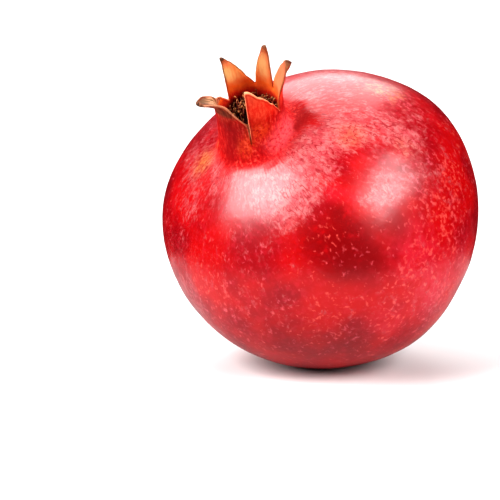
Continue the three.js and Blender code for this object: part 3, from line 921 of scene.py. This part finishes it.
root = CUP_FLOOR + GAP + PAD_HEIGHT * ROOT_SHARE
thread = turned("thread", [(r * MM, h * MM) for r, h in THREAD_SECTION], THREAD_SIDES)
thread_points = points_of(thread)
tuft = []
for index in range(THREADS):
    reach = THREAD_REACH[0] + (THREAD_REACH[1] - THREAD_REACH[0]) * math.sqrt((index + 0.5) / THREADS)
    turn = index * GOLDEN_TURN
    scale = chance.uniform(*THREAD_SCALES)
    near_slit = max(0, math.cos(turn - SLIT_TURN)) ** 3 * reach / THREAD_REACH[1]
    scale *= 1 - SLIT_THINNING * near_slit
    scale *= 1 + TUFT_SLOPE * math.cos(turn - TUFT_HIGH_SIDE) * reach / THREAD_REACH[1]
    heading = turn + chance.uniform(*THREAD_HEADINGS)
    lean = chance.uniform(*THREAD_LEANS)
    droop = chance.uniform(*THREAD_DROOPS)
    twist = chance.uniform(*THREAD_TWISTS)
    centre, section = swayed(thread_points, THREAD_LENGTH, lean, droop, heading, twist)
    centre = centre * scale + (reach * math.cos(turn), reach * math.sin(turn), root)
    out = np.hypot(centre[:, 0], centre[:, 1])
    centre[:, :2] *= np.minimum(1, TUFT_RADIUS / np.maximum(out, MM))[:, None]
    stamen = thread.copy()
    stamen.data = thread.data.copy()
    bpy.context.collection.objects.link(stamen)
    set_points(stamen, centre + section * chance.uniform(*THREAD_GIRTHS))
    mark_all(stamen, "up_thread", thread_points[:, 2] / THREAD_LENGTH)
    mark_all(stamen, "tint", np.full(len(thread_points), chance.random()))
    tuft.append(stamen)
bpy.data.objects.remove(thread)

style = turned("style", [(r * MM, h * MM) for r, h in STYLE_SECTION], STYLE_SIDES)
points = points_of(style)
style_length = STYLE_SECTION[-1][1] * MM
centre, section = swayed(points, style_length, lean=0.25, droop=0, heading=1.0, twist=0.8)
set_points(style, centre + section + (0, 0, root))
mark_all(style, "up_thread", STYLE_PALENESS * points[:, 2] / THREAD_LENGTH)
mark_all(style, "tint", np.full(len(points), STYLE_TINT))

bpy.ops.object.select_all(action="DESELECT")
for part in [style, pad, *tuft]:
    part.select_set(True)
bpy.context.view_layer.objects.active = pad
bpy.ops.object.join()
stamens = bpy.context.object
stamens.name = "dried_stamens"
upright = points_of(stamens)
mark_all(stamens, "grown", upright)
set_points(stamens, lay_down(bend_neck(upright)))
bpy.ops.object.shade_smooth()

dried = finish_for(stamens, "dried_stamens")
place = dried.mark("grown", "Vector")
up_thread = dried.mark("up_thread")
tint = dried.mark("tint")
flecks = dried.noise(place, 1400, 3, 0.6)
brown = dried.mix(dried.step(flecks, 0.35, 0.65), THREAD_DARK, THREAD_BROWN)
dry = dried.mix(tint, THREAD_RUST, THREAD_STRAW)
thread_colour = dried.mix(dried.step(up_thread + flecks * 0.3, 0.3, 0.85), brown, dry)
anther = dried.mix(dried.step(flecks + tint * 0.3, 0.4, 0.8), ANTHER_BROWN, ANTHER_STRAW)
dried.finished(dried.coat({
    "Base Color": dried.mix(dried.step(up_thread, 0.8, 0.86), thread_colour, anther),
    "Roughness": 0.62 + flecks * 0.25,
    "Normal": dried.bump(flecks, 0.12 * MM),
}))
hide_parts("stamens")
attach(stamens, "root")

# ---------------------------------------------------------------------------------------------------
# Stalk: the stub of the twig that bore the fruit, with a swollen foot in the dimple. It is grey-brown
# furrowed bark over pale wood, and was clipped straight across when the fruit was picked.
STALK_SIDES = 60
STALK_LENGTH = 8 * MM
STALK_RADIUS = 2.4 * MM
STALK_FURROWS = 5
STALK_FURROW_DEPTH = 0.18 * MM
STALK_CUT_DEPTH = 0.32 * MM

# The hills of its bark are counted to the metre, across and along it, and rise by a share of its radius.
BARK_HILLS = (900, 900, 260)
BARK_RISE = 0.06

# The stalk's radii, and their distances from its foot, in millimetres.
STALK_SECTION = [
    (0, 0), (3.8, 0), (3.8, 0.25), (3.72, 0.6), (3.6, 0.9), (3.3, 1.35), (3.0, 1.8), (2.78, 2.3),
    (2.62, 2.8), (2.5, 3.4), (2.42, 4.1), (2.4, 4.8), (2.4, 5.5), (2.42, 6.2), (2.44, 6.8), (2.42, 7.3),
    (2.38, 7.65), (2.28, 7.88), (2.1, 7.97), (1.8, 7.96), (1.4, 7.9), (0.9, 7.84), (0.45, 7.8), (0, 7.8),
]
BARK_BROWN = colour(70, 44, 28)
BARK_GREY = colour(168, 130, 92)
WOOD_BROWN = colour(150, 112, 72)
WOOD_PALE = colour(214, 184, 138)
stalk_seat = -POLE_RADIUS + DIMPLE_DEPTH - GAP
stalk = turned("clipped_stalk", [(r * MM, -h * MM) for r, h in STALK_SECTION], STALK_SIDES)
points = points_of(stalk)
turn = np.arctan2(points[:, 1], points[:, 0])
furrow = 1 - STALK_FURROW_DEPTH / STALK_RADIUS * (0.5 + 0.5 * np.cos(STALK_FURROWS * turn))
bark = waves(points * BARK_HILLS, 1)
points[:, :2] *= (furrow + BARK_RISE * bark)[:, None]
mark_all(stalk, "cut", points[:, 2] < STALK_CUT_DEPTH - STALK_LENGTH)
points[:, 2] += stalk_seat
mark_all(stalk, "grown", points)
set_points(stalk, lay_down(points))
bpy.ops.object.shade_smooth()

wood = finish_for(stalk, "stalk_wood")
place = wood.mark("grown", "Vector")
bark_grain = wood.noise(wood.stretch(place, (1, 1, 0.16)), 1500, 5, 0.65)
bark_colour = wood.mix(wood.step(bark_grain, 0.35, 0.62), BARK_BROWN, BARK_GREY)
wood_grain = wood.noise(place, 1800, 4, 0.6)
wood_colour = wood.mix(wood.step(wood_grain, 0.38, 0.6), WOOD_BROWN, WOOD_PALE)
cut = wood.step(wood.mark("cut"), 0.3, 0.8)
wood.finished(wood.coat({
    "Base Color": wood.mix(cut, bark_colour, wood_colour),
    "Roughness": 0.7 + bark_grain * 0.2,
    "Normal": wood.bump(bark_grain, 0.25 * MM),
}))
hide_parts("stalk")
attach(stalk, "root")

# ---------------------------------------------------------------------------------------------------
# The studio: a round sheet of pale paper under the fruit, three softboxes round it, and a wide fill light
# that is kept out of the skin's reflections. All round them is white as the camera sees it, which lights
# the fruit only faintly. A light's roll turns it about the way that it faces, in degrees.
FLOOR_RADIUS = 150 * MM
FLOOR_SIDES = 96
PAPER = (0.75, 0.75, 0.75, 1)
PAPER_IN_GLOSS = (0.42, 0.42, 0.42, 1)
WHITE = (1, 1, 1, 1)
ROOM_LIGHT = 0.02
LIT_POINT = Vector((0, 0, 50 * MM))
LIGHT_DISTANCE = 2.2
LIGHTS = [
    {"name": "left", "towards": (-0.73, -0.39, 0.55), "size": (1.6, 1.6), "radiance": 8.9},
    {"name": "right", "towards": (0.64, -0.48, 0.55), "size": (1.5, 1.05), "radiance": 6.6, "roll": 25},
    {"name": "overhead", "towards": (-0.1, 0.62, 0.776), "size": (2.1, 2.1), "radiance": 2.7},
    {"name": "fill", "towards": (0.72, -0.62, 0.3), "size": (1.8, 1.8), "radiance": 2.4, "unseen": True},
]

bpy.ops.object.select_all(action="DESELECT")
bpy.ops.mesh.primitive_circle_add(vertices=FLOOR_SIDES, radius=FLOOR_RADIUS, fill_type="NGON")
floor = bpy.context.object
floor.name = "floor"
paper = finish_for(floor, "paper")
mirrored = paper.node("LightPath", {}, {}, "Is Glossy Ray")
paper.finished(paper.coat({
    "Base Color": paper.mix(mirrored, PAPER, PAPER_IN_GLOSS),
    "Roughness": 0.9,
    "Specular IOR Level": 0.0,
}))

for source in LIGHTS:
    towards = Vector(source["towards"]).normalized()
    bpy.ops.object.light_add(type="AREA", location=LIT_POINT + towards * LIGHT_DISTANCE)
    light = bpy.context.object
    light.name = "softbox_" + source["name"]
    light.rotation_euler = towards.to_track_quat("Z", "Y").to_euler()
    light.rotation_euler.rotate_axis("Z", math.radians(source.get("roll", 0)))
    width, depth = source["size"]
    light.data.shape = "RECTANGLE"
    light.data.size, light.data.size_y = width, depth
    light.data.energy = source["radiance"] * math.pi * width * depth
    light.visible_glossy = not source.get("unseen")

world = bpy.data.worlds.new("studio")
bpy.context.scene.world = world
room = Finish(world)
seen = room.node("LightPath", {}, {}, "Is Camera Ray")
faint = room.node("Background", {}, {"Color": WHITE, "Strength": ROOM_LIGHT})
white = room.node("Background", {}, {"Color": WHITE, "Strength": 1})
room.finished(room.mix_shaders(seen, faint, white), "World")
bpy.context.scene.view_settings.view_transform = "Standard"
bpy.context.scene.view_settings.look = "High Contrast"
